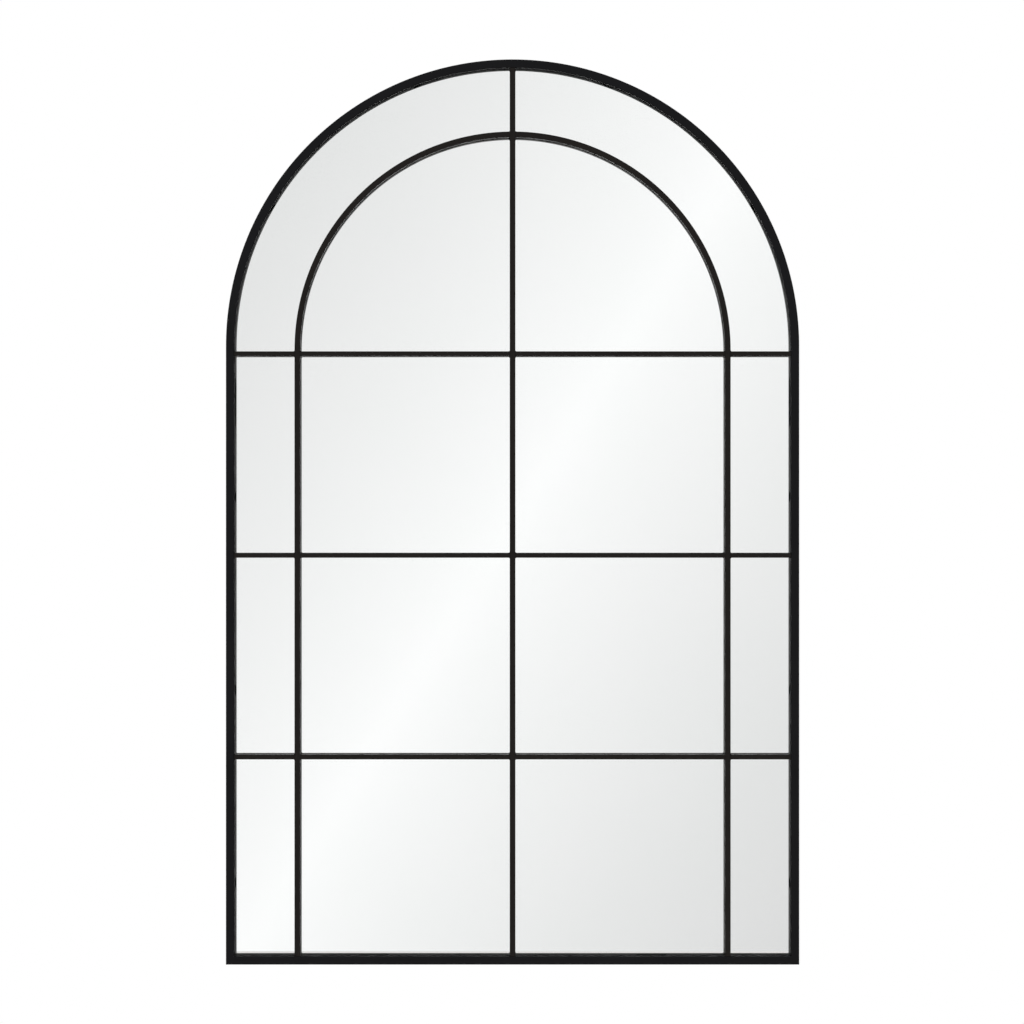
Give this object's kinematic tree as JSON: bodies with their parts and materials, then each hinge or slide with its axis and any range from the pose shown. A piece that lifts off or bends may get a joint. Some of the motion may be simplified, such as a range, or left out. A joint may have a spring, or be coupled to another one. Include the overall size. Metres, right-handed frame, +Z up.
{
  "type": "arched window mirror",
  "caption": "Tall arched wall mirror with a steel frame and a welded windowpane grille over one glass, hung on two swinging rings.",
  "frame": {"origin": "middle of the underside of the bounding box, on the bottom rail", "axes": "+X to the right as seen from the front, +Y from the front towards the wall, +Z up"},
  "size_m": [0.9652, 0.0324, 1.5239],
  "materials": {
    "black_powder_coat": "satin powder coat",
    "silvered_glass": "polished",
    "fibreboard": "bare medium-density fibreboard",
    "foam_tape": "white foam",
    "clear_silicone": "clear silicone",
    "black_rubber": "matte",
    "zinc_plated_steel": "bright zinc plate"
  },
  "bodies": {
    "mirror": {"frame_arch": "black_powder_coat", "frame_left_leg": "black_powder_coat", "frame_right_leg": "black_powder_coat", "frame_bottom_rail": "black_powder_coat", "centre_bar": "black_powder_coat", "left_upright": "black_powder_coat", "right_upright": "black_powder_coat", "inner_arch_left": "black_powder_coat", "inner_arch_right": "black_powder_coat", "weld_fillets": "black_powder_coat", "lower_outer_left_bar": "black_powder_coat", "lower_inner_left_bar": "black_powder_coat", "lower_inner_right_bar": "black_powder_coat", "lower_outer_right_bar": "black_powder_coat", "middle_outer_left_bar": "black_powder_coat", "middle_inner_left_bar": "black_powder_coat", "middle_inner_right_bar": "black_powder_coat", "middle_outer_right_bar": "black_powder_coat", "upper_outer_left_bar": "black_powder_coat", "upper_inner_left_bar": "black_powder_coat", "upper_inner_right_bar": "black_powder_coat", "upper_outer_right_bar": "black_powder_coat", "mirror_glass": "silvered_glass", "backing_board": "fibreboard", "foam_tape_strips": "foam_tape", "silicone_dots": "clear_silicone", "setting_blocks": "black_rubber", "wall_bumpers": "black_rubber", "retaining_clips": "zinc_plated_steel", "frame_screws": "zinc_plated_steel", "hanger_screws": "zinc_plated_steel", "left_hanger_bracket": "zinc_plated_steel", "right_hanger_bracket": "zinc_plated_steel", "left_hanger_strap": "zinc_plated_steel", "right_hanger_strap": "zinc_plated_steel"},
    "left_ring": {"left_hanger_ring": "zinc_plated_steel"},
    "right_ring": {"right_hanger_ring": "zinc_plated_steel"}
  },
  "joints": [
    {"name": "left_ring_pivot", "type": "hinge", "parent": "mirror", "child": "left_ring", "pos_m": [-0.4474, 0.01063, 0.96], "axis": [1, 0, 0], "range_deg": [0, 178]},
    {"name": "right_ring_pivot", "type": "hinge", "parent": "mirror", "child": "right_ring", "pos_m": [0.4474, 0.01063, 0.96], "axis": [1, 0, 0], "range_deg": [0, 178]}
  ]
}
